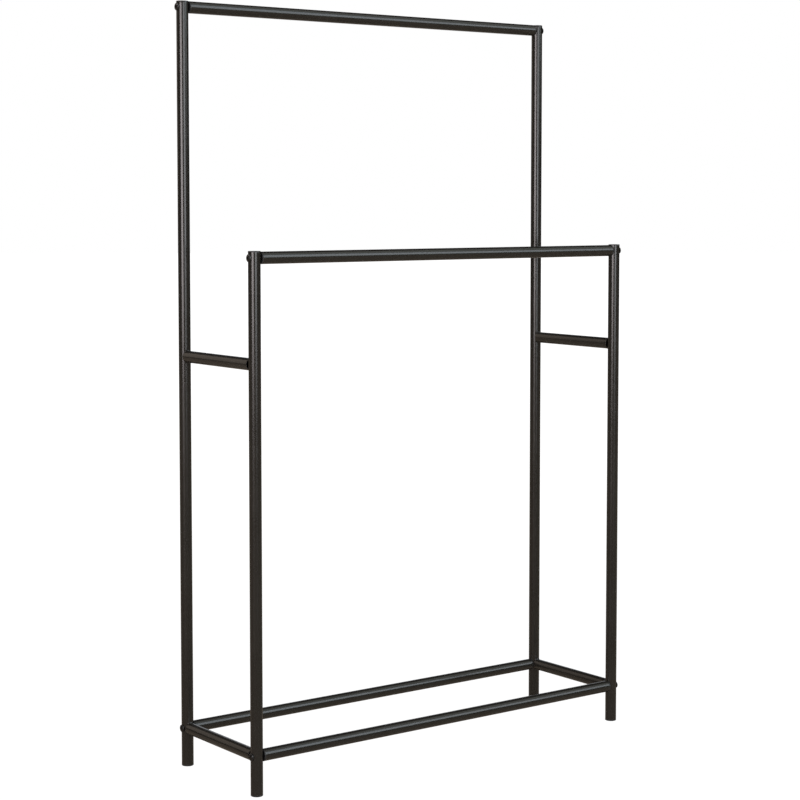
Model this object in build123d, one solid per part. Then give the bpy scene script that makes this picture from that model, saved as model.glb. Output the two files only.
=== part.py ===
from build123d import *
import os

# Two-level garment rail. A tall rear frame and a shorter front frame, both of round steel
# tube, stand on four posts. The two side frames are welded: each is a rear post and a front
# post joined by an upper and a lower rung. Four rails run from one side frame to the other
# and are bolted on, with a domed screw through the post into a nut held in a plastic plug
# in the rail's end.
#
# Axes: X along the rails, +Y from the front frame to the rear frame, +Z up.
# Origin: on the floor, under the middle of the frame. All sizes are in millimetres.

# ---- Overall layout -------------------------------------------------------------------
POST_SPACING_X = 962.5        # between post axes, along the rails
POST_SPACING_Y = 269.5        # between post axes, front to rear
REAR_HEIGHT = 1600.0          # floor to the top of a rear post's cap
FRONT_HEIGHT = 1091.0         # floor to the top of a front post's cap
REAR_RAIL_DROP = 12.5         # rear cap's top down to the axis of the rear top rail
FRONT_RAIL_DROP = 14.0        # front cap's top down to the axis of the front top rail
UPPER_RUNG_HEIGHT = 866.0     # floor to the axis of the upper rungs
BASE_HEIGHT = 80.5            # floor to the axis of the bottom rails and the lower rungs

# ---- Tubes ----------------------------------------------------------------------------
POST_DIAMETER = 25.0
POST_WALL = 1.2
RAIL_DIAMETER = 25.0
RAIL_WALL = 1.2
RUNG_DIAMETER = 25.0
RUNG_WALL = 1.2

# ---- Screws and nuts (M6) -------------------------------------------------------------
SCREW_DIAMETER = 6.0
SCREW_HOLE_CLEARANCE = 0.2    # all round the shank, in posts and plugs
SCREW_TAIL = 3.8              # shank past the nut
SCREW_TIP_CHAMFER = 0.6
HEAD_DIAMETER = 15.5
HEAD_EDGE = 1.8               # height of the head's straight rim
HEAD_HEIGHT = 4.4
HEAD_RIM_FILLET = 0.4
SOCKET_ACROSS_FLATS = 4.0
SOCKET_DEPTH = 2.6
NUT_ACROSS_FLATS = 10.0
NUT_THICKNESS = 5.0
NUT_CHAMFER = 0.5
THREAD_CLEARANCE = 0.05       # all round the shank, inside the nut

# ---- Plugs in the rail ends -----------------------------------------------------------
PLUG_FLANGE = 1.2             # thickness of the flange between post and rail
PLUG_FLANGE_INSET = 0.2       # flange radius less than the rail's
PLUG_FLOOR = 10.0             # flange's inner face to the bottom of the nut pocket
POCKET_CLEARANCE = 0.1        # all round the nut
POCKET_SPARE = 0.8            # pocket depth past the nut

# ---- Caps and glides ------------------------------------------------------------------
INSERT_CLEARANCE = 0.05       # between an insert's ribs and the bore it is pushed into
RIB_HEIGHT = 0.5              # how far the ribs stand out from an insert's barrel
RIB_WIDTH = 1.0
INSERT_WALL = 1.8
CAP_THICKNESS = 2.0
CAP_EDGE_FILLET = 0.9
CAP_INSERT = 6.0
GLIDE_THICKNESS = 3.0
GLIDE_EDGE_FILLET = 1.4
GLIDE_INSERT = 16.0

# ---- Welds at the rung ends -----------------------------------------------------------
WELD_LEG = 2.6                # reach of a bead along the post and along the rung
WELD_HALF_WIDTH = 7.0         # reach of a bead to each side

# ---- Values worked out from the sizes above ---------------------------------------------
post_radius = POST_DIAMETER / 2
rail_radius = RAIL_DIAMETER / 2
rung_radius = RUNG_DIAMETER / 2
half_x = POST_SPACING_X / 2
half_y = POST_SPACING_Y / 2
screw_hole_radius = SCREW_DIAMETER / 2 + SCREW_HOLE_CLEARANCE
screw_length = POST_DIAMETER + PLUG_FLANGE + PLUG_FLOOR + NUT_THICKNESS + SCREW_TAIL
pocket_depth = NUT_THICKNESS + POCKET_SPARE
plug_body = PLUG_FLOOR + pocket_depth

sides = {"left": -1, "right": 1}
rows = {"front": -1, "rear": 1}
row_height = {"front": FRONT_HEIGHT, "rear": REAR_HEIGHT}
top_rail_height = {"front": FRONT_HEIGHT - FRONT_RAIL_DROP, "rear": REAR_HEIGHT - REAR_RAIL_DROP}
rung_height = {"upper": UPPER_RUNG_HEIGHT, "lower": BASE_HEIGHT}


def rail_height(row, level):
    """Height of the axis of a row's top or bottom rail."""
    return top_rail_height[row] if level == "top" else BASE_HEIGHT


def along_x(shape, x, y, z, sign):
    """Lay a shape made along +Z on the X axis, pointing to +X or -X, with its foot at x, y, z."""
    return Pos(x, y, z) * Rot(0, 90 * sign, 0) * shape


def tube(diameter, wall, length):
    """Round tube along +Z from the origin."""
    outer = Cylinder(diameter / 2, length, align=(Align.CENTER, Align.CENTER, Align.MIN))
    bore = Cylinder(diameter / 2 - wall, length, align=(Align.CENTER, Align.CENTER, Align.MIN))
    return outer - bore


def rod(radius, length):
    """Solid round bar along +Z from the origin."""
    return Cylinder(radius, length, align=(Align.CENTER, Align.CENTER, Align.MIN))


def make_post(row, side):
    """Upright tube between its glide and its cap, with a screw hole right through at each rail."""
    x = sides[side] * half_x
    y = rows[row] * half_y
    length = row_height[row] - CAP_THICKNESS - GLIDE_THICKNESS
    post = Pos(x, y, GLIDE_THICKNESS) * tube(POST_DIAMETER, POST_WALL, length)
    for level in ("top", "bottom"):
        drill = rod(screw_hole_radius, 2 * POST_DIAMETER)
        post -= along_x(drill, x - POST_DIAMETER, y, rail_height(row, level), 1)
    return post


def make_rung(level, side):
    """Straight-cut tube between the crests of the front and the rear post."""
    length = POST_SPACING_Y - POST_DIAMETER
    x = sides[side] * half_x
    return Pos(x, length / 2, rung_height[level]) * Rot(90, 0, 0) * tube(RUNG_DIAMETER, RUNG_WALL, length)


def make_rail(row, level):
    """Straight-cut tube between the flanges of its two end plugs."""
    length = POST_SPACING_X - POST_DIAMETER - 2 * PLUG_FLANGE
    shape = tube(RAIL_DIAMETER, RAIL_WALL, length)
    return along_x(shape, -length / 2, rows[row] * half_y, rail_height(row, level), 1)


def insert_barrel(bore_radius, depth):
    """Hollow barrel with two ribs, along +Z from the origin, that grips inside a tube."""
    grip = bore_radius - INSERT_CLEARANCE
    barrel = rod(grip - RIB_HEIGHT, depth)
    for place in (0.35, 0.75):
        barrel += Pos(0, 0, place * depth) * rod(grip, RIB_WIDTH)
    return barrel - rod(grip - RIB_HEIGHT - INSERT_WALL, depth)


def make_plug(row, level, side):
    """Rail end plug: flange against the post, body in the rail, bore for the screw, hex pocket for the nut."""
    bore_radius = rail_radius - RAIL_WALL
    flange = rod(rail_radius - PLUG_FLANGE_INSET, PLUG_FLANGE)
    body = Pos(0, 0, PLUG_FLANGE) * rod(bore_radius - INSERT_CLEARANCE, plug_body)
    pocket_radius = NUT_ACROSS_FLATS / 2 + POCKET_CLEARANCE
    pocket = extrude(RegularPolygon(pocket_radius, 6, major_radius=False), pocket_depth)
    plug = flange + body - rod(screw_hole_radius, PLUG_FLANGE + plug_body)
    plug -= Pos(0, 0, PLUG_FLANGE + PLUG_FLOOR) * pocket
    inward = -sides[side]
    crest = sides[side] * (half_x - post_radius)
    return along_x(plug, crest, rows[row] * half_y, rail_height(row, level), inward)


def make_nut(row, level, side):
    """Hexagon nut seated on the floor of the plug's pocket."""
    hexagon = extrude(RegularPolygon(NUT_ACROSS_FLATS / 2, 6, major_radius=False), NUT_THICKNESS)
    corner_radius = NUT_ACROSS_FLATS / 3 ** 0.5
    turned = chamfer(rod(corner_radius, NUT_THICKNESS).edges().filter_by(GeomType.CIRCLE), NUT_CHAMFER)
    nut = (hexagon & turned) - rod(SCREW_DIAMETER / 2 + THREAD_CLEARANCE, NUT_THICKNESS)
    inward = -sides[side]
    seat = sides[side] * (half_x - post_radius - PLUG_FLANGE - PLUG_FLOOR)
    return along_x(nut, seat, rows[row] * half_y, rail_height(row, level), inward)


def make_screw(row, level, side):
    """Domed screw: the flat under its head touches the post's outer crest, its shank ends past the nut."""
    dome_rise = HEAD_HEIGHT - HEAD_EDGE
    dome_radius = ((HEAD_DIAMETER / 2) ** 2 + dome_rise ** 2) / (2 * dome_rise)
    disc = rod(HEAD_DIAMETER / 2, HEAD_HEIGHT)
    ball = Pos(0, 0, HEAD_HEIGHT - dome_radius) * Sphere(dome_radius)
    head = disc & ball
    rim = head.edges().filter_by(lambda edge: edge.is_closed).sort_by(Axis.Z)[-1]
    head = fillet(rim, HEAD_RIM_FILLET)
    socket = extrude(RegularPolygon(SOCKET_ACROSS_FLATS / 2, 6, major_radius=False), SOCKET_DEPTH)
    head -= Pos(0, 0, HEAD_HEIGHT - SOCKET_DEPTH) * socket
    shank = rod(SCREW_DIAMETER / 2, screw_length)
    tip = shank.edges().filter_by(GeomType.CIRCLE).sort_by(Axis.Z)[-1]
    shank = chamfer(tip, SCREW_TIP_CHAMFER)
    screw = head + Rot(180, 0, 0) * shank
    outward = sides[side]
    crest = sides[side] * (half_x + post_radius)
    return along_x(screw, crest, rows[row] * half_y, rail_height(row, level), outward)


def make_cap(row, side):
    """Flat plastic cap on the top of a post, with a short barrel that stops above the screw."""
    disc = rod(post_radius, CAP_THICKNESS)
    rim = disc.edges().filter_by(GeomType.CIRCLE).sort_by(Axis.Z)[-1]
    disc = fillet(rim, CAP_EDGE_FILLET)
    barrel = Rot(180, 0, 0) * insert_barrel(post_radius - POST_WALL, CAP_INSERT)
    top = row_height[row] - CAP_THICKNESS
    return Pos(sides[side] * half_x, rows[row] * half_y, top) * (disc + barrel)


def make_glide(row, side):
    """Plastic foot glide: rounded disc on the floor, barrel up inside the post."""
    disc = rod(post_radius, GLIDE_THICKNESS)
    rim = disc.edges().filter_by(GeomType.CIRCLE).sort_by(Axis.Z)[0]
    disc = fillet(rim, GLIDE_EDGE_FILLET)
    barrel = Pos(0, 0, GLIDE_THICKNESS) * insert_barrel(post_radius - POST_WALL, GLIDE_INSERT)
    return Pos(sides[side] * half_x, rows[row] * half_y, 0) * (disc + barrel)


def weld_lump():
    """Round-ended bar along X, centred on the origin, from which one bead is cut."""
    straight = 2 * (WELD_HALF_WIDTH - WELD_LEG)
    lump = Rot(0, 90, 0) * Cylinder(WELD_LEG, straight)
    for end in (-1, 1):
        lump += Pos(end * straight / 2, 0, 0) * Sphere(WELD_LEG)
    return lump


def make_welds(level, side):
    """Four beads on one rung: over and under each end, filling the corner between rung and post."""
    x = sides[side] * half_x
    z = rung_height[level]
    crest = half_y - post_radius
    rung = Pos(x, -crest, z) * Rot(-90, 0, 0) * rod(rung_radius, 2 * crest)
    beads = []
    for end in (-1, 1):
        post = Pos(x, end * half_y, 0) * rod(post_radius, REAR_HEIGHT)
        for upward in (-1, 1):
            bead = Pos(x, end * crest, z + upward * rung_radius) * weld_lump() - rung - post
            beads += bead.solids()
    return Compound(beads)


def all_nodes():
    """Every piece by its node name."""
    nodes = {}
    for side in sides:
        for row in rows:
            nodes[f"{row}_post_{side}"] = make_post(row, side)
            nodes[f"{row}_cap_{side}"] = make_cap(row, side)
            nodes[f"{row}_glide_{side}"] = make_glide(row, side)
            for level in ("top", "bottom"):
                nodes[f"{row}_{level}_plug_{side}"] = make_plug(row, level, side)
                nodes[f"{row}_{level}_nut_{side}"] = make_nut(row, level, side)
                nodes[f"{row}_{level}_screw_{side}"] = make_screw(row, level, side)
        for level in rung_height:
            nodes[f"{level}_rung_{side}"] = make_rung(level, side)
            nodes[f"{level}_welds_{side}"] = make_welds(level, side)
    for row in rows:
        for level in ("top", "bottom"):
            nodes[f"{row}_{level}_rail"] = make_rail(row, level)
    return nodes


os.makedirs("parts", exist_ok=True)
for name, shape in all_nodes().items():
    shape.label = name
    export_step(shape, f"parts/{name}.step")
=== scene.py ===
import math

import bpy
import numpy as np
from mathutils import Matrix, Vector


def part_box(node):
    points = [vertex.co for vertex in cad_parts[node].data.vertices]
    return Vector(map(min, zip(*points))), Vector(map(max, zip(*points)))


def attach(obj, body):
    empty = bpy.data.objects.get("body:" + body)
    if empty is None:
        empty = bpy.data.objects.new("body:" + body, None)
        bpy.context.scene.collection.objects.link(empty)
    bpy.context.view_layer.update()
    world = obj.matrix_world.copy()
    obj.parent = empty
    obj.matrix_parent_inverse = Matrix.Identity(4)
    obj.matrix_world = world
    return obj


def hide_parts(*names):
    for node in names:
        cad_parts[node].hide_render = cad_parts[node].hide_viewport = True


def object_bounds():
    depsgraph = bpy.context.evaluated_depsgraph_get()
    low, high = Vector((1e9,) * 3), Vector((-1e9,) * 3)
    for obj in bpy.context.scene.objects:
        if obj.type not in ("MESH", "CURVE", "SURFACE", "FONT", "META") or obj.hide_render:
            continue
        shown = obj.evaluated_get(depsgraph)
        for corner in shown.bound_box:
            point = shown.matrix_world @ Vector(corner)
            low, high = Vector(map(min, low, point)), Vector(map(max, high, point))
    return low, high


# Looks of the two-level garment rail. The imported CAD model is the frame: every tube, plug, nut,
# screw, cap, glide and weld bead is drawn again here as a smooth surface in its CAD place.
# Lengths are metres. Turn angle 0 on an upright post is towards -Y, and a quarter turn is +X.

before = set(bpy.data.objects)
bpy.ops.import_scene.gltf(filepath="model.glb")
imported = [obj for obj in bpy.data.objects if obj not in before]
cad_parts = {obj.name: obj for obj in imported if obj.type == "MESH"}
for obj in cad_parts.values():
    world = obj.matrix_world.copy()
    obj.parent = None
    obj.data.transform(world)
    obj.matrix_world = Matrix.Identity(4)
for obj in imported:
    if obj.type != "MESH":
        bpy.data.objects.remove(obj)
cad_low, cad_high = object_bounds()

MM = 0.001
TURN_STEPS = 96                # steps round a tube, plug, cap or glide
EDGE_STEPS = 4                 # steps round a softened edge
SHARP_ANGLE = math.radians(40)
TINY = 1e-9                    # keeps a division away from zero
ROUNDING = 1e-6                # slack for comparing worked-out numbers

# ---- Sizes that the CAD boxes don't give ---------------------------------------------------
TUBE_WALL = 1.2 * MM
TUBE_EDGE_SOFTENING = 0.2 * MM
STRAIGHT_START = 3.0 * MM      # where a tube's wall is straight again behind its cut end
HOLE_RADIUS = 3.2 * MM
HOLE_CELLS = 4                 # grid cells from a screw hole's middle to its rim
SHANK_RADIUS = 3.0 * MM
THREAD_PITCH = 1.0 * MM
THREAD_DEPTH = 0.35 * MM
THREAD_LENGTH = 22.0 * MM
THREAD_STEPS = 8               # rows to a pitch
THREAD_WEAR = 0.6
SCREW_TIP_CHAMFER = 0.6 * MM
HEAD_RADIUS = 7.75 * MM
HEAD_EDGE = 1.8 * MM
HEAD_HEIGHT = 4.4 * MM
HEAD_RIM_INSET = 0.4 * MM      # how far inside the rim the dome starts
HEAD_RIM_SOFTENING = 0.36 * MM
HEAD_UNDERSIDE_SOFTENING = 0.2 * MM
DOME_STEPS = 9
SOCKET_EDGE_WIDTH = 0.1 * MM   # worn band of the dome beside the socket
SOCKET_ACROSS_FLATS = 4.0 * MM
SOCKET_DEPTH = 2.6 * MM
SOCKET_MOUTH_CHAMFER = 0.15 * MM
SOCKET_DRILL_POINT = 0.4 * MM
NUT_ACROSS_FLATS = 10.0 * MM
NUT_THICKNESS = 5.0 * MM
NUT_CHAMFER = 0.5 * MM
NUT_BORE_RADIUS = 3.05 * MM
NUT_CHAMFER_STEPS = 4
NUT_BORE_STEPS = 41
PLUG_FLANGE = 1.2 * MM
PLUG_FLANGE_INSET = 0.2 * MM
PLUG_FLOOR = 10.0 * MM
PLUG_POCKET_DEPTH = 5.8 * MM
PLUG_FLANGE_SOFTENING = 0.15 * MM
PLUG_END_SOFTENING = 0.3 * MM
POCKET_ACROSS_FLATS = 10.2 * MM
INSERT_CLEARANCE = 0.05 * MM
INSERT_RIB_HEIGHT = 0.5 * MM
INSERT_RIB_WIDTH = 1.0 * MM
INSERT_RIB_PLACES = (0.35, 0.75)
INSERT_WALL = 1.8 * MM
INSERT_EDGE_STEPS = 8
CAP_THICKNESS = 2.0 * MM
CAP_EDGE_RADIUS = 0.9 * MM
CAP_CROWN = 0.25 * MM
CROWN_PLACE = 0.5              # a crown's bend, as shares of the face's radius and of its rise
CROWN_SHARE = 0.25
CROWN_SOFTENING = 0.3
WORN_RIM_START = 0.8           # share of the face's radius where wear starts
GLIDE_THICKNESS = 3.0 * MM
GLIDE_EDGE_RADIUS = 1.4 * MM
WELD_LEG = 2.6 * MM
WELD_HALF_WIDTH = 7.0 * MM
WELD_SWELL = 0.35 * MM
WELD_RIPPLE = 0.09 * MM
WELD_RIPPLE_PITCH = 1.3 * MM
WELD_RIPPLE_CURVE = 0.35       # how far a ripple bows along the bead, in pitches
WELD_SINK = 0.05 * MM          # how far a bead's hidden back lies inside the metal
BEAD_LONG_STEPS = 65
BEAD_FACE_STEPS = 13
BEAD_BACK_STEPS = 9

TURN_ANGLES = np.arange(TURN_STEPS) * 2 * np.pi / TURN_STEPS
ALL_ROUND = np.ones(TURN_STEPS)


# ---- Surfaces ------------------------------------------------------------------------------
# A skin is (points, edge, blocks): its points, how far each is a worn edge from 0 to 1, and pairs
# of a face array and the map places of those faces' corners.
def axis_frame(direction):
    """Two unit vectors across a direction, so that across_1, across_2, direction are right-handed."""
    along = np.array(direction, float)
    helper = np.array((0.0, 0.0, 1.0)) if abs(along[2]) < 0.5 else np.array((1.0, 0.0, 0.0))
    across_1 = np.cross(helper, along)
    across_1 /= np.linalg.norm(across_1)
    return across_1, np.cross(along, across_1), along


def closed_skin(points, edge, loop, keep=None):
    """Skin over a grid of points (i, j) that closes round j. It closes round i too when loop is true,
    and otherwise its first and last rings shrink to one pole point each. The map's u is the share of
    the turn along j, and its v is the length gone along i. Cells that keep marks false stay open."""
    rings, steps = points.shape[:2]
    edge = np.broadcast_to(edge, (rings, steps))
    if loop:
        flat_points = points.reshape(-1, 3)
        flat_edge = edge.ravel()
        index = np.arange(rings * steps).reshape(rings, steps)
    else:
        body = points[1:-1].reshape(-1, 3)
        flat_points = np.vstack([body, points[[0, -1]].mean(1)])
        flat_edge = np.append(edge[1:-1].ravel(), edge[[0, -1]].mean(1))
        index = np.full((rings, steps), len(body))
        index[1:-1] = np.arange(len(body)).reshape(rings - 2, steps)
        index[-1] = len(body) + 1
    beyond = np.roll(index, -1, 0)
    cells = np.stack([index, np.roll(index, -1, 1), np.roll(beyond, -1, 1), beyond], -1)
    gaps = np.linalg.norm(np.roll(points, -1, 0) - points, axis=-1).mean(1)
    gone = np.concatenate([[0], np.cumsum(gaps)])
    turn = np.arange(steps + 1) / steps
    low_v, left_u = np.meshgrid(gone[:-1], turn[:-1], indexing="ij")
    high_v, right_u = np.meshgrid(gone[1:], turn[1:], indexing="ij")
    corners = np.stack([left_u, low_v, right_u, low_v, right_u, high_v, left_u, high_v], -1)
    corners = corners.reshape(rings, steps, 4, 2)
    if loop:
        keep = np.ones((rings, steps), bool) if keep is None else keep
        return flat_points, flat_edge, [(cells[keep], corners[keep])]
    middle = slice(1, -2)
    blocks = [
        (cells[middle].reshape(-1, 4), corners[middle].reshape(-1, 4, 2)),
        (cells[0][:, [0, 2, 3]], corners[0][:, [0, 2, 3]]),
        (cells[-2][:, [0, 1, 2]], corners[-2][:, [0, 1, 2]]),
    ]
    return flat_points, flat_edge, blocks


def turned_skin(radius, height, foot, direction, edge, loop, angle=TURN_ANGLES, keep=None):
    """Profile carried round an axis: point (i, j) is radius (i, j) out from the axis at turn angle j
    and height (i, j) along it from the foot."""
    radius, height, angle = np.broadcast_arrays(radius, height, angle)
    across_1, across_2, along = axis_frame(direction)
    spoke = np.cos(angle)[..., None] * across_1 + np.sin(angle)[..., None] * across_2
    points = np.array(foot, float) + radius[..., None] * spoke + height[..., None] * along
    return closed_skin(points, edge, loop, keep)


def turned_profile(profile, foot, direction, loop):
    """Round skin from a profile whose rows are radius, height and edge."""
    radius = profile[:, :1] * ALL_ROUND
    return turned_skin(radius, profile[:, 1:2], foot, direction, profile[:, 2:], loop)


def softened(corners, roundings, loop, steps=EDGE_STEPS):
    """Profile through corners, each turned on an arc of its own radius: the arc's centre lies on the
    corner's bisector, and its points swing evenly from one tangent point to the other. Each row is
    radius, height, and 1 on an arc or 0 off it."""
    corners = np.array(corners, float)
    count = len(corners)
    rows = []
    for i in range(count):
        rounding = roundings[i]
        back = corners[i - 1] - corners[i]
        ahead = corners[(i + 1) % count] - corners[i]
        back /= np.linalg.norm(back)
        ahead /= np.linalg.norm(ahead)
        half = math.acos(np.clip(back @ ahead, -1, 1)) / 2
        open_end = not loop and i in (0, count - 1)
        if rounding == 0 or open_end or np.isclose(half, np.pi / 2):
            rows.append([(*corners[i], 0.0)])
            continue
        bisector = (back + ahead) / np.linalg.norm(back + ahead)
        centre = corners[i] + bisector * rounding / math.sin(half)
        start = (corners[i] + back * rounding / math.tan(half) - centre) / rounding
        end = (corners[i] + ahead * rounding / math.tan(half) - centre) / rounding
        swing = math.acos(np.clip(start @ end, -1, 1))
        share = np.linspace(0, 1, steps + 1)[:, None]
        arc = (np.sin((1 - share) * swing) * start + np.sin(share * swing) * end) / math.sin(swing)
        rows.append(np.hstack([centre + rounding * arc, np.ones((steps + 1, 1))]))
    return np.vstack(rows)


def new_piece(name, skins, material, node):
    """One object from skins, smooth but for edges over the sharp angle, with its map and its edge
    values. Points that no face uses are left out. It stands for its CAD node."""
    starts = np.cumsum([0] + [len(points) for points, _, _ in skins[:-1]])
    blocks = [(faces + start, places)
              for start, skin in zip(starts, skins) for faces, places in skin[2]]
    used = np.unique(np.concatenate([faces.ravel() for faces, _ in blocks]))
    renumbered = np.zeros(used.max() + 1, int)
    renumbered[used] = np.arange(len(used))
    points = np.vstack([skin[0] for skin in skins])[used]
    edge = np.concatenate([skin[1] for skin in skins])[used]
    places = np.vstack([block.reshape(-1, 2) for _, block in blocks])
    faces = [face for block, _ in blocks for face in renumbered[block].tolist()]
    mesh = bpy.data.meshes.new(name)
    mesh.from_pydata(points.tolist(), [], faces)
    mesh.update()
    mesh.uv_layers.new(name="UVMap")
    mesh.uv_layers["UVMap"].data.foreach_set("uv", places.ravel().astype(np.float32))
    mesh.attributes.new("edge", "FLOAT", "POINT")
    mesh.attributes["edge"].data.foreach_set("value", edge.astype(np.float32))
    mesh.shade_smooth()
    mesh.set_sharp_from_angle(angle=SHARP_ANGLE)
    mesh.materials.append(material)
    piece = bpy.data.objects.new(name, mesh)
    bpy.context.scene.collection.objects.link(piece)
    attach(piece, "root")
    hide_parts(node)
    return piece


def hexagon_radius(across_flats):
    """Distance from a hexagon's middle to its edge at each turn angle."""
    from_flat = (TURN_ANGLES % (np.pi / 3)) - np.pi / 6
    return across_flats / 2 / np.cos(from_flat)


def node_span(node):
    """Lowest corner, highest corner and size of a CAD node's box, as arrays."""
    low, high = (np.array(corner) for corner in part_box(node))
    return low, high, high - low


def end_foot(node, axis, from_high):
    """Middle of a node's box end across an axis: its high end, or its low one."""
    low, high, _ = node_span(node)
    foot = (low + high) / 2
    foot[axis] = high[axis] if from_high else low[axis]
    return foot


# ---- Tubes ---------------------------------------------------------------------------------
def tube_profile(outer, length, rows):
    """Closed profile of a round tube's wall with softened ends: up the outside and down the inside,
    with points at the given heights of both."""
    inner = outer - TUBE_WALL
    upward = [(outer, 0), *[(outer, row) for row in rows], (outer, length)]
    downward = [(inner, length), *[(inner, row) for row in rows[::-1]], (inner, 0)]
    soft = [TUBE_EDGE_SOFTENING, *[0] * len(rows), TUBE_EDGE_SOFTENING]
    return softened(upward + downward, soft + soft, True)


def tube_skin(node, axis):
    """Round tube that fills its node's box along an axis: 0 for X, 1 for Y, 2 for Z."""
    span = node_span(node)[2]
    length = span[axis]
    outer = np.delete(span, axis).max() / 2
    profile = tube_profile(outer, length, [STRAIGHT_START, length - STRAIGHT_START])
    return turned_profile(profile, end_foot(node, axis, False), np.eye(3)[axis], True)


def rim_walk():
    """Row and column steps, from a hole's middle, of the grid points round its rim, anticlockwise
    seen from outside the tube."""
    walk = np.arange(-HOLE_CELLS, HOLE_CELLS)
    side = np.full(2 * HOLE_CELLS, HOLE_CELLS)
    return np.concatenate([-side, walk, side, -walk]), np.concatenate([walk, side, -walk, -side])


def post_skin(node, hole_heights):
    """Upright tube with screw holes through its left and right walls. Round each hole the grid is
    pulled from squares to circles: a point s, t hole radii from the middle moves towards its place
    times max(|s|, |t|) / hypot(s, t), wholly at the rim and not at all two radii out. The rim's
    square of cells is open, and its outer and inner rims are joined by the hole's own wall."""
    low, _, span = node_span(node)
    length = span[2]
    outer = span[0] / 2
    near_hole = HOLE_RADIUS * np.linspace(-2, 2, 4 * HOLE_CELLS + 1)
    heights = [height - low[2] for height in sorted(hole_heights)]
    rows = np.concatenate([[STRAIGHT_START], *[height + near_hole for height in heights],
                           [length - STRAIGHT_START]])
    profile = tube_profile(outer, length, rows)
    radius = profile[:, :1] * ALL_ROUND
    height = profile[:, 1:2] * ALL_ROUND
    edge = profile[:, 2:] * ALL_ROUND
    angle = TURN_ANGLES * np.ones_like(radius)
    keep = np.ones(radius.shape, bool)
    walls = []
    row_step, column_step = rim_walk()
    for hole in heights:
        for middle in (TURN_STEPS // 4, 3 * TURN_STEPS // 4):
            s = (np.arange(TURN_STEPS) - middle)[None] / HOLE_CELLS
            t = (profile[:, 1:2] - hole) / HOLE_RADIUS
            reach = np.maximum(np.abs(s), np.abs(t))
            pull = np.clip(2 - reach, 0, 1)
            to_circle = reach / np.maximum(np.hypot(s, t), TINY)
            sideways = radius * np.sin(angle - TURN_ANGLES[middle])
            sideways = sideways + pull * (HOLE_RADIUS * s * to_circle - sideways)
            pulled = TURN_ANGLES[middle] + np.arcsin(np.clip(sideways / radius, -1, 1))
            angle = np.where(pull > 0, pulled, angle)
            height = height + pull * HOLE_RADIUS * t * (to_circle - 1)
            edge = np.maximum(edge, np.isclose(reach, 1))
            inside = reach < 1 + ROUNDING
            inside = inside & np.roll(inside, -1, 0)
            keep &= ~(inside & np.roll(inside, -1, 1))
            level = np.isclose(profile[:, 1], hole)
            outside_row, inside_row = np.flatnonzero(level)
            columns = middle + column_step
            outer_rim = (outside_row + row_step) * TURN_STEPS + columns
            inner_rim = (inside_row - row_step) * TURN_STEPS + columns
            next_outer = np.roll(outer_rim, -1)
            next_inner = np.roll(inner_rim, -1)
            walls.append(np.stack([outer_rim, next_outer, next_inner, inner_rim], -1))
    skin = turned_skin(radius, height, end_foot(node, 2, False), (0, 0, 1), edge, True, angle, keep)
    wall_faces = np.vstack(walls)
    share = (np.arange(len(wall_faces)) % len(row_step))[:, None] / len(row_step)
    depth = np.array([0, 0, TUBE_WALL, TUBE_WALL])
    turn = share + np.array([0, 1, 1, 0]) / len(row_step)
    skin[2].append((wall_faces, np.stack([turn, depth * np.ones_like(turn)], -1)))
    return skin


# ---- Plastic inserts -----------------------------------------------------------------------
def ribbed_barrel(grip, depth):
    """Corners of a hollow barrel's outside, up from 0 to its depth, with two raised rings."""
    barrel = grip - INSERT_RIB_HEIGHT
    corners = [(barrel, 0)]
    for place in INSERT_RIB_PLACES:
        rib = place * depth
        rib_end = rib + INSERT_RIB_WIDTH
        corners += [(barrel, rib), (grip, rib), (grip, rib_end), (barrel, rib_end)]
    return corners + [(barrel, depth)]


def insert_skin(foot, direction, outer, thickness, edge_radius, crown, depth):
    """Disc with a rounded, slightly crowned face and a hollow ribbed barrel behind it. The face's
    middle is the foot, and the barrel points along the direction into the tube."""
    grip = outer - TUBE_WALL - INSERT_CLEARANCE
    hollow = grip - INSERT_RIB_HEIGHT - INSERT_WALL
    face = [(0, 0), (outer * CROWN_PLACE, crown * CROWN_SHARE), (outer, crown), (outer, thickness)]
    barrel = [(r, thickness + h) for r, h in ribbed_barrel(grip, depth)]
    inside = [(hollow, thickness + depth), (hollow, thickness), (0, thickness)]
    corners = face + barrel + inside
    roundings = [0.0] * len(corners)
    roundings[1] = outer * CROWN_SOFTENING
    roundings[2] = edge_radius
    profile = softened(corners, roundings, False, INSERT_EDGE_STEPS)
    profile[:, 2] *= profile[:, 0] > outer * WORN_RIM_START
    return turned_profile(profile, foot, direction, False)


def cap_skin(node, post):
    """Post cap: crowned face up, barrel down into the post."""
    outer = node_span(post)[2][0] / 2
    depth = node_span(node)[2][2] - CAP_THICKNESS
    foot = end_foot(node, 2, True)
    return insert_skin(foot, (0, 0, -1), outer, CAP_THICKNESS, CAP_EDGE_RADIUS, CAP_CROWN, depth)


def glide_skin(node, post):
    """Foot glide: flat face with a rounded edge on the floor, barrel up into the post."""
    outer = node_span(post)[2][0] / 2
    depth = node_span(node)[2][2] - GLIDE_THICKNESS
    foot = end_foot(node, 2, False)
    return insert_skin(foot, (0, 0, 1), outer, GLIDE_THICKNESS, GLIDE_EDGE_RADIUS, 0.0, depth)


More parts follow.
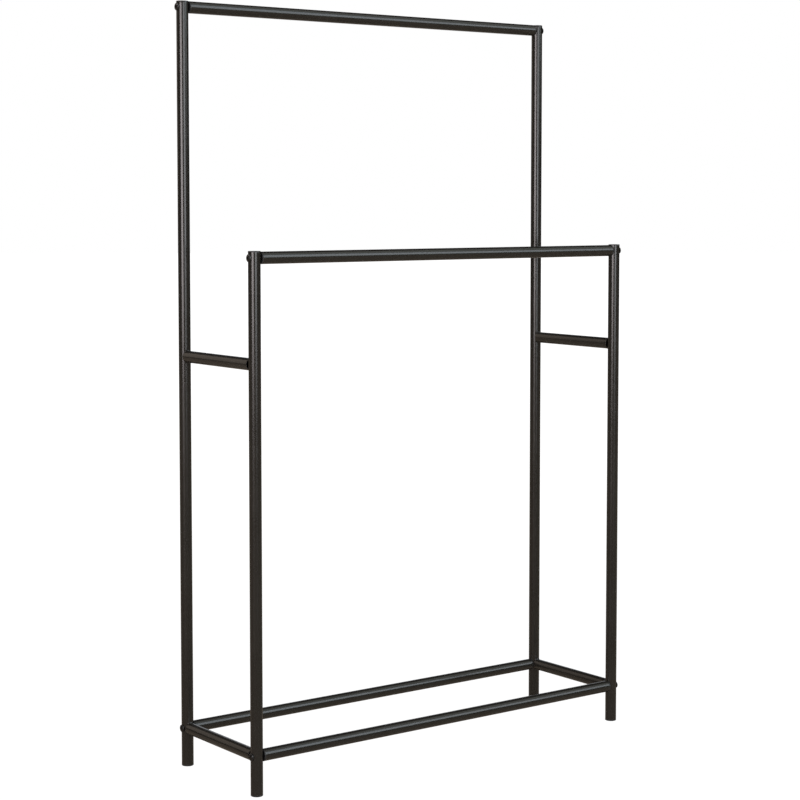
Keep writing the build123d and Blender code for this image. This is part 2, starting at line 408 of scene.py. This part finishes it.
def plug_skin(node, inward):
    """Rail end plug: flange, body, screw bore, and a hexagon pocket for the nut at its inner end."""
    flange = node_span(node)[2][1] / 2
    body = flange + PLUG_FLANGE_INSET - TUBE_WALL - INSERT_CLEARANCE
    floor = PLUG_FLANGE + PLUG_FLOOR
    end = floor + PLUG_POCKET_DEPTH
    pocket_wall = POCKET_ACROSS_FLATS / 2
    corners = [(flange, 0), (flange, PLUG_FLANGE), (body, PLUG_FLANGE), (body, end),
               (pocket_wall, end), (pocket_wall, floor), (HOLE_RADIUS, floor), (HOLE_RADIUS, 0)]
    roundings = [PLUG_FLANGE_SOFTENING, PLUG_FLANGE_SOFTENING, 0, PLUG_END_SOFTENING, 0, 0, 0, 0]
    profile = softened(corners, roundings, True)
    radius = profile[:, :1] * ALL_ROUND
    radius[np.isclose(profile[:, 0], pocket_wall)] = hexagon_radius(POCKET_ACROSS_FLATS)
    foot = end_foot(node, 0, inward < 0)
    return turned_skin(radius, profile[:, 1:2], foot, (inward, 0, 0), profile[:, 2:], True)


# ---- Fasteners -----------------------------------------------------------------------------
def thread_groove(height):
    """Depth of a helical groove: a triangle wave of the height in pitches less the share of the turn."""
    turn = np.arange(TURN_STEPS) / TURN_STEPS
    phase = (height / THREAD_PITCH - turn) % 1.0
    return THREAD_DEPTH * (1 - np.abs(2 * phase - 1))


def nut_skin(node, inward):
    """Hexagon nut: flats cut back by a cone at each face, and a threaded bore."""
    corner_radius = NUT_ACROSS_FLATS / 3 ** 0.5
    chamfer = np.linspace(0, NUT_CHAMFER, NUT_CHAMFER_STEPS)
    height = np.concatenate([chamfer, [NUT_THICKNESS / 2], NUT_THICKNESS - chamfer[::-1]])[:, None]
    from_face = np.minimum(height, NUT_THICKNESS - height)
    cone = corner_radius - NUT_CHAMFER + from_face
    flats = hexagon_radius(NUT_ACROSS_FLATS)
    outside = np.minimum(flats, cone)
    bore_height = np.linspace(NUT_THICKNESS, 0, NUT_BORE_STEPS)[:, None]
    from_bore_end = np.minimum(bore_height, NUT_THICKNESS - bore_height)
    run_out = np.clip(2 * from_bore_end / THREAD_PITCH, 0, 1)
    bore = NUT_BORE_RADIUS + thread_groove(bore_height) * run_out
    edge = np.vstack([(flats > cone) | (from_face == 0), np.zeros_like(bore)])
    foot = end_foot(node, 0, inward < 0)
    heights = np.vstack([height, bore_height])
    return turned_skin(np.vstack([outside, bore]), heights, foot, (inward, 0, 0), edge, True)


def screw_skin(node, inward):
    """Domed screw from its tip to the bottom of its hexagon socket. The dome is a ball that meets the
    head's straight rim, and the threaded end of the shank has a helical groove."""
    length = node_span(node)[2][0] - HEAD_HEIGHT
    rise = HEAD_HEIGHT - HEAD_EDGE
    ball = (HEAD_RADIUS ** 2 + rise ** 2) / (2 * rise)

    def dome_height(radius):
        return length + HEAD_HEIGHT - ball + np.sqrt(ball ** 2 - radius ** 2)

    row_gap = THREAD_PITCH / THREAD_STEPS
    thread_height = np.arange(SCREW_TIP_CHAMFER, THREAD_LENGTH, row_gap)[:, None]
    run_out = np.clip((THREAD_LENGTH - thread_height) / THREAD_PITCH, 0, 1)
    run_in = np.clip((thread_height - SCREW_TIP_CHAMFER) / THREAD_PITCH, 0, 1)
    thread = SHANK_RADIUS - thread_groove(thread_height) * run_out * run_in
    socket = hexagon_radius(SOCKET_ACROSS_FLATS)
    mouth_radius = socket.max() + SOCKET_MOUTH_CHAMFER
    dome_radius = np.linspace(HEAD_RADIUS - HEAD_RIM_INSET, mouth_radius, DOME_STEPS)
    worn = dome_radius < mouth_radius + SOCKET_EDGE_WIDTH
    dome = np.stack([dome_radius, dome_height(dome_radius), worn], -1)
    rim_corners = [(SHANK_RADIUS, length), (HEAD_RADIUS, length), (HEAD_RADIUS, length + HEAD_EDGE),
                   tuple(dome[0, :2])]
    rim = softened(rim_corners, [0, HEAD_UNDERSIDE_SOFTENING, HEAD_RIM_SOFTENING, 0], False)
    head = np.vstack([rim, dome[1:]])
    tip = np.array([(0, 0, 0), (SHANK_RADIUS - SCREW_TIP_CHAMFER, 0, 0)])
    mouth = dome_height(socket)
    floor = length + HEAD_HEIGHT - SOCKET_DEPTH
    socket_heights = np.stack([mouth, floor * ALL_ROUND, (floor - SOCKET_DRILL_POINT) * ALL_ROUND])
    radius = np.vstack([tip[:, :1] * ALL_ROUND, thread, head[:, :1] * ALL_ROUND,
                        socket, socket, 0 * ALL_ROUND])
    height = np.vstack([tip[:, 1:2] * ALL_ROUND, thread_height * ALL_ROUND, head[:, 1:2] * ALL_ROUND,
                        socket_heights])
    thread_edge = THREAD_WEAR * np.ones_like(thread_height)
    socket_edge = [[1], [0], [0]]
    edge = np.vstack([tip[:, 2:], thread_edge, head[:, 2:], socket_edge])
    foot = end_foot(node, 0, inward > 0)
    return turned_skin(radius, height, foot, (-inward, 0, 0), edge, False)


# ---- Weld beads ----------------------------------------------------------------------------
def bead_skin(rung, post, end, upward):
    """Weld bead in the corner between a rung's straight-cut round end and a round post. At place x
    along the bead the rung's skin stands sqrt(r^2 - x^2) above its axis, and the post's skin lies
    R - sqrt(R^2 - x^2) past the rung's end. The face runs from the rung to the post on a straight
    line plus a sine swell with curved ripples, and the back returns just inside the metal. The leg
    falls to nothing at both ends as the square root of 1 - (x / half width)^4."""
    low, high, span = node_span(rung)
    rung_radius = span[0] / 2
    post_radius = node_span(post)[2][0] / 2
    middle = (low + high) / 2
    x = np.linspace(-WELD_HALF_WIDTH, WELD_HALF_WIDTH, BEAD_LONG_STEPS)[:, None]
    s = np.linspace(0, 1, BEAD_FACE_STEPS)[None]
    taper = np.sqrt(np.clip(1 - (x / WELD_HALF_WIDTH) ** 4, 0, 1))
    leg = (WELD_LEG - WELD_SWELL) * taper
    gap = post_radius - np.sqrt(post_radius ** 2 - x ** 2)
    skin_height = np.sqrt(rung_radius ** 2 - x ** 2)
    slope = np.maximum(np.hypot(gap + leg, leg), TINY)
    bow = WELD_RIPPLE_CURVE * (2 * s - 1) ** 2
    ripple = WELD_RIPPLE * np.cos(2 * np.pi * (x / WELD_RIPPLE_PITCH + bow))
    swell = (WELD_SWELL + ripple) * np.sin(np.pi * s) * taper
    out = -leg + s * (gap + leg) - swell * leg / slope
    up = skin_height + s * leg + swell * (gap + leg) / slope
    back = np.linspace(1, 0, BEAD_BACK_STEPS)[None, :-1]
    back_out = gap + WELD_SINK - np.clip(0.5 - back, 0, 0.5) * 2 * (gap + WELD_SINK + leg)
    back_up = skin_height - WELD_SINK + np.clip(back - 0.5, 0, 0.5) * 2 * leg
    out = np.hstack([out, back_out])
    up = np.hstack([up, back_up])
    crest = high[1] if end > 0 else low[1]
    across = middle[0] + x * np.ones_like(out)
    points = np.stack([across, crest + end * out, middle[2] + upward * up], -1)
    if end * upward > 0:
        points = points[:, ::-1]
    return closed_skin(points, 0.0, False)


# ---- Node groups ---------------------------------------------------------------------------
def feed(tree, socket, value):
    """Links a node's output to a socket, or sets the socket's own value."""
    if isinstance(value, bpy.types.NodeSocket):
        tree.links.new(value, socket)
    else:
        socket.default_value = value


def add_node(tree, kind, inputs, **settings):
    """One node of a kind, with its settings and with its inputs fed by name or number."""
    node = tree.nodes.new("ShaderNode" + kind)
    for setting, value in settings.items():
        setattr(node, setting, value)
    for socket, value in inputs.items():
        feed(tree, node.inputs[socket], value)
    return node


def math_of(tree, operation, first, second=0.0, clamped=False):
    """Output of one Math node."""
    node = add_node(tree, "Math", {0: first, 1: second}, operation=operation, use_clamp=clamped)
    return node.outputs[0]


def remap(tree, value, from_low, from_high, to_low, to_high, smooth=False):
    """A value carried from one range to another, held at its ends."""
    kind = "SMOOTHSTEP" if smooth else "LINEAR"
    inputs = {0: value, 1: from_low, 2: from_high, 3: to_low, 4: to_high}
    return add_node(tree, "MapRange", inputs, interpolation_type=kind).outputs[0]


def noise(tree, vector, scale, detail=2.0):
    """Noise from 0 to 1 on a vector, at a number of waves to the metre."""
    inputs = {"Vector": vector, "Scale": scale, "Detail": detail}
    return add_node(tree, "TexNoise", inputs).outputs["Fac"]


def mixed_colour(tree, factor, first, second):
    """Colour between two colours."""
    inputs = {0: factor, 6: first, 7: second}
    return add_node(tree, "Mix", inputs, data_type="RGBA").outputs[2]


def new_group(name, inputs, outputs):
    """Empty shader node group with named inputs, each with its kind and start value, and outputs."""
    group = bpy.data.node_groups.new(name, "ShaderNodeTree")
    for label, (kind, start) in inputs.items():
        socket = group.interface.new_socket(label, in_out="INPUT", socket_type="NodeSocket" + kind)
        if start is not None:
            socket.default_value = start
    for label in outputs:
        group.interface.new_socket(label, in_out="OUTPUT", socket_type="NodeSocketFloat")
    given = group.nodes.new("NodeGroupInput").outputs
    result = group.nodes.new("NodeGroupOutput").inputs
    return group, given, result


def make_finish_texture():
    """Grain of a sprayed or moulded skin: fine waves, slow patches, and a few raised dust specks."""
    inputs = {"Vector": ("Vector", None), "Grain Waves": ("Float", 750.0),
              "Patch Waves": ("Float", 14.0), "Speck Waves": ("Float", 160.0)}
    group, given, result = new_group("finish_texture", inputs, ("Grain", "Patches", "Specks"))
    grain = noise(group, given["Vector"], given["Grain Waves"], 1.5)
    patches = noise(group, given["Vector"], given["Patch Waves"], 3.0)
    cells = add_node(group, "TexVoronoi", {"Vector": given["Vector"], "Scale": given["Speck Waves"]})
    near = remap(group, cells.outputs["Distance"], 0.05, 0.14, 1.0, 0.0, True)
    chosen = add_node(group, "SeparateColor", {0: cells.outputs["Color"]}).outputs[0]
    specks = math_of(group, "MULTIPLY", near, math_of(group, "GREATER_THAN", chosen, 0.86))
    feed(group, result["Grain"], grain)
    feed(group, result["Patches"], remap(group, patches, 0.3, 0.7, 0.0, 1.0))
    feed(group, result["Specks"], specks)
    return group


def make_rubbed_edge():
    """Mask of a piece's worn edges: its edge values broken up by noise."""
    inputs = {"Vector": ("Vector", None), "Edge": ("Float", 0.0), "Break Waves": ("Float", 350.0)}
    group, given, result = new_group("rubbed_edge", inputs, ("Mask",))
    broken = math_of(group, "MULTIPLY", noise(group, given["Vector"], given["Break Waves"], 3.0), 1.5)
    worn = math_of(group, "MULTIPLY", given["Edge"], broken)
    feed(group, result["Mask"], remap(group, worn, 0.45, 0.95, 0.0, 1.0, True))
    return group


def make_fine_scratches():
    """Hairlines: thin level lines of a noise that is stretched by a scale along each axis."""
    inputs = {"Vector": ("Vector", None), "Stretch": ("Vector", None)}
    group, given, result = new_group("fine_scratches", inputs, ("Lines",))
    both = {0: given["Vector"], 1: given["Stretch"]}
    stretched = add_node(group, "VectorMath", both, operation="MULTIPLY")
    waves = noise(group, stretched.outputs[0], 1.0, 2.0)
    off_level = math_of(group, "ABSOLUTE", math_of(group, "SUBTRACT", waves, 0.5))
    feed(group, result["Lines"], remap(group, off_level, 0.0, 0.012, 1.0, 0.0))
    return group


def make_turned_rings():
    """Machining rings: a sine wave of the length gone along a turned piece's profile."""
    inputs = {"Map": ("Vector", None), "Rings": ("Float", 3000.0)}
    group, given, result = new_group("turned_rings", inputs, ("Height",))
    length = add_node(group, "SeparateXYZ", {0: given["Map"]}).outputs[1]
    wave = math_of(group, "SINE", math_of(group, "MULTIPLY", length, given["Rings"]))
    feed(group, result["Height"], remap(group, wave, -1.0, 1.0, 0.0, 1.0))
    return group


finish_texture = make_finish_texture()
rubbed_edge = make_rubbed_edge()
fine_scratches = make_fine_scratches()
turned_rings = make_turned_rings()


# ---- Materials -----------------------------------------------------------------------------
# Each finish has a dark and a pale colour for its patches, a rubbed colour for its worn edges, a
# roughness, and a bump depth in metres.
COAT_DARK = (0.0150, 0.0132, 0.0106, 1)
COAT_PALE = (0.0184, 0.0162, 0.0132, 1)
COAT_RUBBED = (0.085, 0.082, 0.078, 1)
COAT_ROUGHNESS = 0.185
COAT_BUMP = 0.000004
HANGER_MARK_STRETCH = (420.0, 9.0, 9.0)
WELD_DARK = (0.0165, 0.0152, 0.014, 1)
WELD_PALE = (0.024, 0.0225, 0.021, 1)
WELD_ROUGHNESS = 0.17
WELD_BUMP = 0.00009
PLASTIC_DARK = (0.009, 0.009, 0.0092, 1)
PLASTIC_PALE = (0.013, 0.013, 0.0134, 1)
PLASTIC_RUBBED = (0.055, 0.055, 0.057, 1)
PLASTIC_ROUGHNESS = 0.36
PLASTIC_BUMP = 0.000012
PLASTIC_SCUFF_STRETCH = (90.0, 260.0, 90.0)
SCREW_DARK = (0.007, 0.0062, 0.0056, 1)
SCREW_PALE = (0.011, 0.0098, 0.0088, 1)
SCREW_RUBBED = (0.12, 0.115, 0.11, 1)
SCREW_ROUGHNESS = 0.22
SCREW_BUMP = 0.000008
ZINC_DARK = (0.5, 0.51, 0.53, 1)
ZINC_PALE = (0.66, 0.66, 0.65, 1)
ZINC_RUBBED = (0.78, 0.78, 0.78, 1)
ZINC_ROUGHNESS = 0.22
ZINC_BUMP = 0.000006


class Finish:
    """A material being made: its tree, its Principled shader, and places on the piece."""

    def __init__(self, name):
        self.material = bpy.data.materials.new(name)
        self.material.use_nodes = True
        self.tree = self.material.node_tree
        self.shader = self.tree.nodes["Principled BSDF"]
        places = self.tree.nodes.new("ShaderNodeTexCoord")
        self.place = places.outputs["Object"]
        self.map = places.outputs["UV"]
        self.edge = add_node(self.tree, "Attribute", {}, attribute_name="edge").outputs["Fac"]

    def group(self, node_tree, **inputs):
        """A node group placed in this material, with its inputs fed; spaces are underscores."""
        node = self.tree.nodes.new("ShaderNodeGroup")
        node.node_tree = node_tree
        for label, value in inputs.items():
            feed(self.tree, node.inputs[label.replace("_", " ")], value)
        return node.outputs

    def rubbed(self, waves):
        """Mask of the piece's worn edges, broken up by so many waves to the metre."""
        return self.group(rubbed_edge, Vector=self.place, Edge=self.edge, Break_Waves=waves)["Mask"]

    def set(self, **inputs):
        """Feeds the shader's inputs; spaces are underscores."""
        for label, value in inputs.items():
            feed(self.tree, self.shader.inputs[label.replace("_", " ")], value)

    def bump(self, height, distance):
        """Raises the surface by a height from 0 to 1 times a distance in metres."""
        node = add_node(self.tree, "Bump", {"Height": height, "Distance": distance})
        self.set(Normal=node.outputs["Normal"])

    def sum(self, first, *rest):
        """Sum of several (value, weight) pairs."""
        total = math_of(self.tree, "MULTIPLY", *first)
        for value, weight in rest:
            total = math_of(self.tree, "ADD", total, math_of(self.tree, "MULTIPLY", value, weight))
        return total

    def colour(self, texture, dark, pale, rubbed=None, strength=0.0, rubbed_colour=None):
        """Colour from dark to pale over the patches, and towards the rubbed colour where rubbed."""
        base = mixed_colour(self.tree, texture["Patches"], dark, pale)
        if rubbed is None:
            return base
        share = math_of(self.tree, "MULTIPLY", rubbed, strength)
        return mixed_colour(self.tree, share, base, rubbed_colour)

    def roughness(self, start, *changes):
        """Roughness from a start value plus (value, weight) pairs."""
        return math_of(self.tree, "ADD", self.sum(*changes), start)


def coat_finish(name, hanger_marks):
    """Smooth semi-gloss black powder coat: faint orange peel, slow changes of gloss, a few specks, and
    cut ends rubbed a little paler. Hanger marks are hairlines round a rail's upper side."""
    finish = Finish(name)
    tree = finish.tree
    texture = finish.group(finish_texture, Vector=finish.place)
    rubbed = finish.rubbed(350.0)
    colour = finish.colour(texture, COAT_DARK, COAT_PALE, rubbed, 0.5, COAT_RUBBED)
    changes = [(texture["Patches"], 0.03), (texture["Specks"], 0.12), (rubbed, 0.14)]
    if hanger_marks:
        marks = finish.group(fine_scratches, Vector=finish.place, Stretch=HANGER_MARK_STRETCH)["Lines"]
        normal = add_node(tree, "NewGeometry", {}).outputs["Normal"]
        upward = add_node(tree, "SeparateXYZ", {0: normal}).outputs[2]
        on_top = remap(tree, upward, 0.55, 0.95, 0.0, 1.0, True)
        changes.append((math_of(tree, "MULTIPLY", marks, on_top), 0.07))
    finish.set(Base_Color=colour, Roughness=finish.roughness(COAT_ROUGHNESS, *changes))
    finish.bump(finish.sum((texture["Grain"], 1.0), (texture["Specks"], 1.5)), COAT_BUMP)
    return finish.material


def painted_weld():
    """Weld bead under the coat: lumpy, glossier in its hollows, and pitted where spatter came off."""
    finish = Finish("painted_weld")
    texture = finish.group(finish_texture, Vector=finish.place, Grain_Waves=620.0, Patch_Waves=90.0,
                           Speck_Waves=420.0)
    roughness = finish.roughness(WELD_ROUGHNESS, (texture["Patches"], 0.1), (texture["Grain"], 0.05),
                                 (texture["Specks"], 0.1))
    finish.set(Base_Color=finish.colour(texture, WELD_DARK, WELD_PALE), Roughness=roughness)
    finish.bump(finish.sum((texture["Grain"], 1.0), (texture["Specks"], -1.2)), WELD_BUMP)
    return finish.material


def moulded_plastic():
    """Black injection-moulded plastic: fine even grain, slow gloss patches, and edges scuffed dull."""
    finish = Finish("moulded_plastic")
    texture = finish.group(finish_texture, Vector=finish.place, Grain_Waves=2600.0, Patch_Waves=45.0,
                           Speck_Waves=500.0)
    rubbed = finish.rubbed(700.0)
    scuffs = finish.group(fine_scratches, Vector=finish.place, Stretch=PLASTIC_SCUFF_STRETCH)["Lines"]
    colour = finish.colour(texture, PLASTIC_DARK, PLASTIC_PALE, rubbed, 0.45, PLASTIC_RUBBED)
    roughness = finish.roughness(PLASTIC_ROUGHNESS, (texture["Patches"], 0.05),
                                 (texture["Grain"], 0.06), (rubbed, 0.16), (scuffs, 0.06))
    finish.set(Base_Color=colour, Roughness=roughness)
    finish.bump(finish.sum((texture["Grain"], 1.0), (scuffs, -0.6)), PLASTIC_BUMP)
    return finish.material


def blackened_steel():
    """Black-oxide screw: oily dark skin, machining rings on its dome, and bright rubbed edges."""
    finish = Finish("blackened_steel")
    texture = finish.group(finish_texture, Vector=finish.place, Grain_Waves=1500.0, Patch_Waves=220.0,
                           Speck_Waves=900.0)
    rubbed = finish.rubbed(900.0)
    rings = finish.group(turned_rings, Map=finish.map, Rings=16000.0)["Height"]
    colour = finish.colour(texture, SCREW_DARK, SCREW_PALE, rubbed, 0.3, SCREW_RUBBED)
    roughness = finish.roughness(SCREW_ROUGHNESS, (texture["Patches"], 0.08), (texture["Grain"], 0.05))
    metallic = math_of(finish.tree, "MULTIPLY", rubbed, 0.6)
    finish.set(Base_Color=colour, Roughness=roughness, Metallic=metallic)
    finish.bump(finish.sum((texture["Grain"], 1.0), (rings, 0.6)), SCREW_BUMP)
    return finish.material


def zinc_plate():
    """Zinc-plated nut: bright grey with cloudy spangle, machining rings, and paler corners."""
    finish = Finish("zinc_plate")
    texture = finish.group(finish_texture, Vector=finish.place, Grain_Waves=1200.0, Patch_Waves=300.0,
                           Speck_Waves=800.0)
    rubbed = finish.rubbed(900.0)
    rings = finish.group(turned_rings, Map=finish.map, Rings=14000.0)["Height"]
    colour = finish.colour(texture, ZINC_DARK, ZINC_PALE, rubbed, 1.0, ZINC_RUBBED)
    roughness = finish.roughness(ZINC_ROUGHNESS, (texture["Patches"], 0.14), (texture["Grain"], 0.08))
    finish.set(Base_Color=colour, Roughness=roughness, Metallic=1.0)
    finish.bump(finish.sum((texture["Grain"], 1.0), (rings, 0.8)), ZINC_BUMP)
    return finish.material


frame_coat = coat_finish("powder_coat", False)
hanging_rail_coat = coat_finish("powder_coat_hanging_rail", True)
weld_coat = painted_weld()
black_plastic = moulded_plastic()
black_steel = blackened_steel()
zinc = zinc_plate()


# ---- Pieces --------------------------------------------------------------------------------
def rail_height(row, level):
    """Height of a rail's axis."""
    low, high, _ = node_span(f"{row}_{level}_rail")
    return (low[2] + high[2]) / 2


def build_post(row, side):
    """One upright with its cap and its foot glide."""
    post = f"{row}_post_{side}"
    heights = [rail_height(row, level) for level in LEVELS]
    new_piece(f"{post}_tube", [post_skin(post, heights)], frame_coat, post)
    cap = f"{row}_cap_{side}"
    new_piece(f"{cap}_moulding", [cap_skin(cap, post)], black_plastic, cap)
    glide = f"{row}_glide_{side}"
    new_piece(f"{glide}_moulding", [glide_skin(glide, post)], black_plastic, glide)


def build_rail_end(row, level, side, inward):
    """One rail end's plug, and the nut and domed screw that hold it to the post."""
    plug = f"{row}_{level}_plug_{side}"
    new_piece(f"{plug}_moulding", [plug_skin(plug, inward)], black_plastic, plug)
    nut = f"{row}_{level}_nut_{side}"
    new_piece(f"{nut}_hexagon", [nut_skin(nut, inward)], zinc, nut)
    screw = f"{row}_{level}_screw_{side}"
    new_piece(f"{screw}_domed", [screw_skin(screw, inward)], black_steel, screw)


def build_rung(level, side):
    """One side rung and the four beads that weld it to its posts, over and under each end."""
    rung = f"{level}_rung_{side}"
    new_piece(f"{rung}_tube", [tube_skin(rung, 1)], frame_coat, rung)
    beads = [bead_skin(rung, f"{row}_post_{side}", end, upward)
             for row, end in ROWS.items() for upward in (-1, 1)]
    welds = f"{level}_welds_{side}"
    new_piece(f"{welds}_beads", beads, weld_coat, welds)


ROWS = {"front": -1, "rear": 1}
SIDES = {"left": -1, "right": 1}
LEVELS = ("top", "bottom")

for side_name, side_sign in SIDES.items():
    for row_name in ROWS:
        build_post(row_name, side_name)
        for rail_level in LEVELS:
            build_rail_end(row_name, rail_level, side_name, -side_sign)
    for rung_level in ("upper", "lower"):
        build_rung(rung_level, side_name)
for row_name in ROWS:
    for rail_level, coat in zip(LEVELS, (hanging_rail_coat, frame_coat)):
        rail = f"{row_name}_{rail_level}_rail"
        new_piece(f"{rail}_tube", [tube_skin(rail, 0)], coat, rail)


# ---- Floor, light and camera ---------------------------------------------------------------
FLOOR_RADIUS = 40.0
FLOOR_STEPS = 64
FLOOR_DARK = (0.8, 0.8, 0.8, 1)
FLOOR_PALE = (0.83, 0.83, 0.83, 1)
FLOOR_GLOW = 1.14              # brightness that the camera sees, over the lit floor's own
FLOOR_GLOW_SHARE = 0.87        # the glow's share of the floor near the rail
FLOOR_GLOW_FADE = (1.2, 5.0)   # distances between which that share rises to all of it
SEEN_WHITE = 1.0               # brightness of the plain background that the camera sees
ROOM_FLOOR = (0.28, 0.229, 0.182, 1)
ROOM_SIDES = (0.03, 0.03, 0.03, 1)
ROOM_CEILING = (0.25, 0.25, 0.24, 1)
FLOOR_LIGHT_BAND = (-0.1, -0.05)    # sines of elevation between which the room changes
CEILING_LIGHT_BAND = (0.75, 0.9)
LIGHT_DISTANCE = 8.0
# Azimuths and elevations in degrees, and radiance as red, green and blue.
SOFTBOXES = {
    "key": ((-80, -48), (-3, 14), (8.0, 7.4, 7.5)),
    "front": ((-22, 8), (-3, 14), (4.5, 4.65, 4.85)),
    "high_front": ((0, 45), (30, 46), (2.8, 3.2, 3.5)),
    "high_right": ((45, 90), (30, 64), (0.7, 0.75, 0.7)),
    "right_low": ((18, 50), (10, 18), (3.0, 3.45, 3.55)),
    "right_main": ((18, 62), (18, 30), (2.95, 3.1, 3.35)),
    "rear_left": ((-170, -140), (3, 45), (0.62, 0.53, 0.45)),
    "rear_right": ((132, 164), (-18, 18), (0.6, 0.62, 0.65)),
    "left_back_high": ((-130, -90), (30, 48), (3.4, 3.2, 3.1)),
}

CAMERA_PLACE = Vector((-2.580, -3.412, 1.192))
CAMERA_YAW = 36.86             # degrees from +Y towards +X
CAMERA_PITCH = -3.845
CAMERA_LENS = 88.76
CAMERA_SHIFT = -0.085


def make_floor():
    """Round pale floor far wider than the rail. The camera sees most of its brightness as an even
    glow, wholly so far away, so that it meets the background with no line and shadows stay faint."""
    angle = np.arange(FLOOR_STEPS) * 2 * np.pi / FLOOR_STEPS
    rim = np.stack([FLOOR_RADIUS * np.cos(angle), FLOOR_RADIUS * np.sin(angle), 0 * angle], -1)
    mesh = bpy.data.meshes.new("floor")
    mesh.from_pydata(rim.tolist(), [], [list(range(FLOOR_STEPS))])
    finish = Finish("pale_floor")
    tree = finish.tree
    texture = finish.group(finish_texture, Vector=finish.place, Grain_Waves=90.0, Patch_Waves=0.8)
    colour = finish.colour(texture, FLOOR_DARK, FLOOR_PALE)
    finish.set(Base_Color=colour, Roughness=0.9, Specular_IOR_Level=0.0)
    glow = add_node(tree, "Emission", {"Color": (1, 1, 1, 1), "Strength": FLOOR_GLOW})
    seen = add_node(tree, "LightPath", {}).outputs["Is Camera Ray"]
    away = add_node(tree, "VectorMath", {0: finish.place}, operation="LENGTH").outputs["Value"]
    rising = remap(tree, away, *FLOOR_GLOW_FADE, FLOOR_GLOW_SHARE, 1.0, True)
    share = math_of(tree, "MULTIPLY", seen, rising)
    mix = add_node(tree, "MixShader", {0: share, 1: finish.shader.outputs[0], 2: glow.outputs[0]})
    tree.links.new(mix.outputs[0], tree.nodes["Material Output"].inputs["Surface"])
    mesh.materials.append(finish.material)
    floor = bpy.data.objects.new("floor", mesh)
    bpy.context.scene.collection.objects.link(floor)
    floor.visible_glossy = False
    floor.visible_shadow = False


def make_world():
    """Plain white where the camera looks past everything. What the tubes mirror is a dim studio:
    warm and low below the horizon, darker above it, and a little paler overhead."""
    world = bpy.data.worlds.new("studio")
    bpy.context.scene.world = world
    world.use_nodes = True
    tree = world.node_tree
    tree.nodes.clear()
    direction = tree.nodes.new("ShaderNodeTexCoord").outputs["Generated"]
    height = add_node(tree, "SeparateXYZ", {0: direction}).outputs[2]
    below = remap(tree, height, *FLOOR_LIGHT_BAND, 1.0, 0.0, True)
    above = remap(tree, height, *CEILING_LIGHT_BAND, 0.0, 1.0, True)
    room = mixed_colour(tree, above, ROOM_SIDES, ROOM_CEILING)
    room = mixed_colour(tree, below, room, ROOM_FLOOR)
    mirrored = add_node(tree, "Background", {"Color": room, "Strength": 1.0})
    seen = add_node(tree, "Background", {"Color": (1, 1, 1, 1), "Strength": SEEN_WHITE})
    camera_ray = add_node(tree, "LightPath", {}).outputs["Is Camera Ray"]
    mix = add_node(tree, "MixShader", {0: camera_ray, 1: mirrored.outputs[0], 2: seen.outputs[0]})
    out = tree.nodes.new("ShaderNodeOutputWorld")
    tree.links.new(mix.outputs[0], out.inputs["Surface"])


def softbox(name, azimuths, elevations, radiance):
    """Upright rectangular light between two azimuths (0 in front, 90 at +X) and two elevations, in
    degrees from the rail's middle, facing it. Its radiance is red, green and blue."""
    middle = (cad_low + cad_high) / 2
    azimuth = math.radians(sum(azimuths) / 2)
    low, high = (middle.z + LIGHT_DISTANCE * math.tan(math.radians(angle)) for angle in elevations)
    width = 2 * LIGHT_DISTANCE * math.tan(math.radians(azimuths[1] - azimuths[0]) / 2)
    light = bpy.data.lights.new(name, "AREA")
    light.shape = "RECTANGLE"
    light.size = width
    light.size_y = high - low
    brightest = max(radiance)
    light.energy = brightest * math.pi * width * (high - low)
    light.color = [channel / brightest for channel in radiance]
    away = Vector((math.sin(azimuth), -math.cos(azimuth), 0))
    lamp = bpy.data.objects.new(name, light)
    lamp.location = (away.x * LIGHT_DISTANCE, away.y * LIGHT_DISTANCE, (low + high) / 2)
    lamp.rotation_mode = "QUATERNION"
    lamp.rotation_quaternion = away.to_track_quat("Z", "Y")
    lamp.visible_camera = False
    bpy.context.scene.collection.objects.link(lamp)


def make_camera():
    """Camera at chest height, looking past the rail's left front corner and slightly down."""
    data = bpy.data.cameras.new("camera")
    data.lens = CAMERA_LENS
    data.shift_y = CAMERA_SHIFT
    camera = bpy.data.objects.new("camera", data)
    yaw = math.radians(CAMERA_YAW)
    pitch = math.radians(CAMERA_PITCH)
    level = math.cos(pitch)
    view = Vector((math.sin(yaw) * level, math.cos(yaw) * level, math.sin(pitch)))
    camera.location = CAMERA_PLACE
    camera.rotation_mode = "QUATERNION"
    camera.rotation_quaternion = view.to_track_quat("-Z", "Y")
    bpy.context.scene.collection.objects.link(camera)
    bpy.context.scene.camera = camera


make_floor()
make_world()
for light_name, settings in SOFTBOXES.items():
    softbox(light_name, *settings)
make_camera()
bpy.context.scene.view_settings.view_transform = "Standard"
